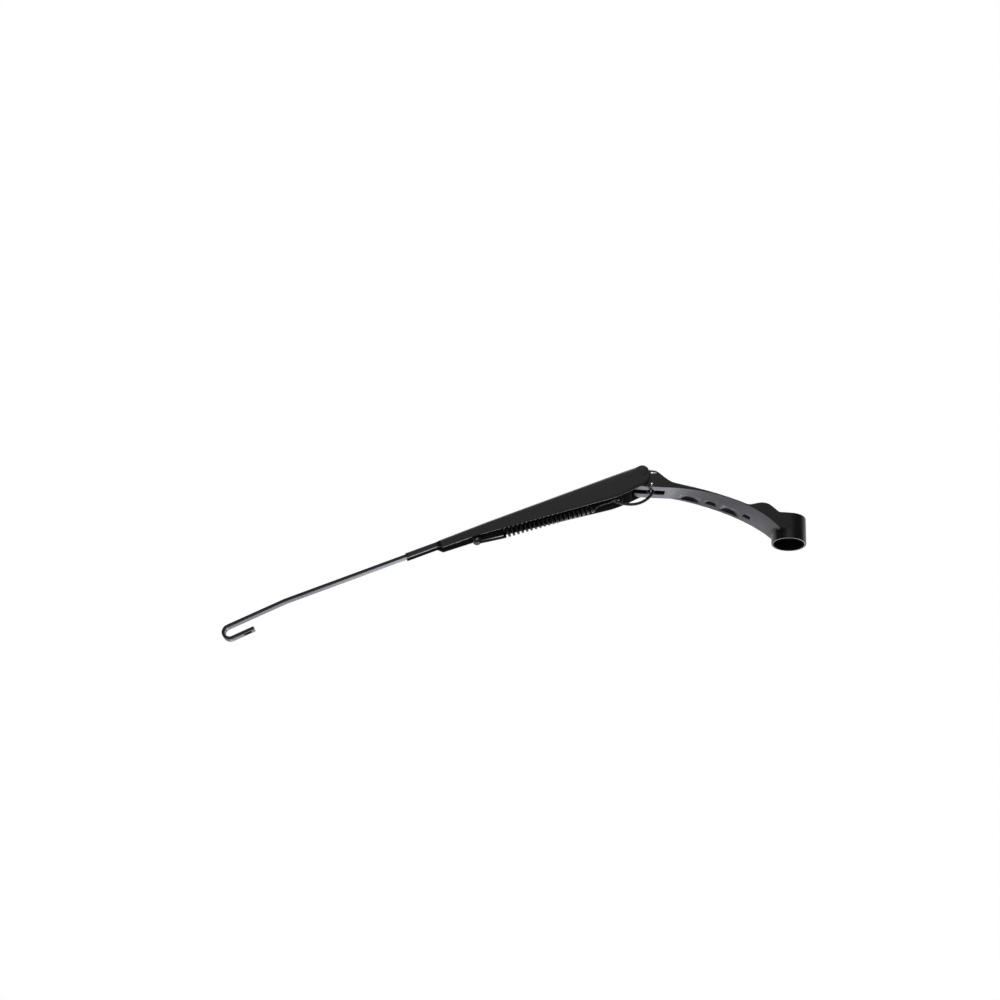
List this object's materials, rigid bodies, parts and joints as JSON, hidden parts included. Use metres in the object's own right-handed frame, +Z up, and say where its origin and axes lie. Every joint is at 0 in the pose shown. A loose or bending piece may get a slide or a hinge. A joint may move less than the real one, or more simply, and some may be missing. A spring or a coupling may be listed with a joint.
{
  "type": "wiper arm",
  "caption": "Windscreen wiper arm: a cast head with a spindle hub, a folded channel with a tension spring and link, and a flat rod with a hook for the blade.",
  "frame": {"origin": "centre of the mouth of the spindle bore, under the hub's web", "axes": "+Z up the spindle's axis, the arm reaches along -X, +Y along the hinge's axis"},
  "size_m": [0.5651, 0.0344, 0.2178],
  "materials": {
    "black_casting": "satin black powder coat",
    "black_steel": "satin black paint",
    "spring_steel": "black, slightly glossy",
    "bare_steel": "bare cut end",
    "bush_plastic": "plain bearing plastic"
  },
  "bodies": {
    "head": {"head": "black_casting", "hinge_bushes": "bush_plastic", "link_pin": "bare_steel"},
    "arm": {"channel": "black_steel", "rod": "black_steel", "hinge_rivet": "black_steel", "rod_rivets": "black_steel", "spring_hanger": "black_steel", "spring_pin": "bare_steel"},
    "spring": {"spring": "spring_steel"},
    "link": {"link": "spring_steel"}
  },
  "joints": [
    {"name": "arm_fold", "type": "hinge", "parent": "head", "child": "arm", "pos_m": [-0.1498, 0, 0.0485], "axis": [0, 1, 0], "range_deg": [0, 78], "deforming": ["spring"]},
    {"name": "link_swing", "type": "hinge", "parent": "head", "child": "link", "pos_m": [-0.1404, 0, 0.0354], "axis": [0, 1, 0], "range_deg": [0, 74]},
    {"name": "spring_stretch", "type": "slide", "parent": "arm", "child": "spring", "axis": [0.3589, 0, 0.9334], "range_m": [0, 0.0185]}
  ],
  "couplings": [
    {"joint": "link_swing", "follows": "arm_fold", "ratio": 0.9408},
    {"joint": "spring_stretch", "follows": "arm_fold", "m_per_rad": 0.0134}
  ]
}
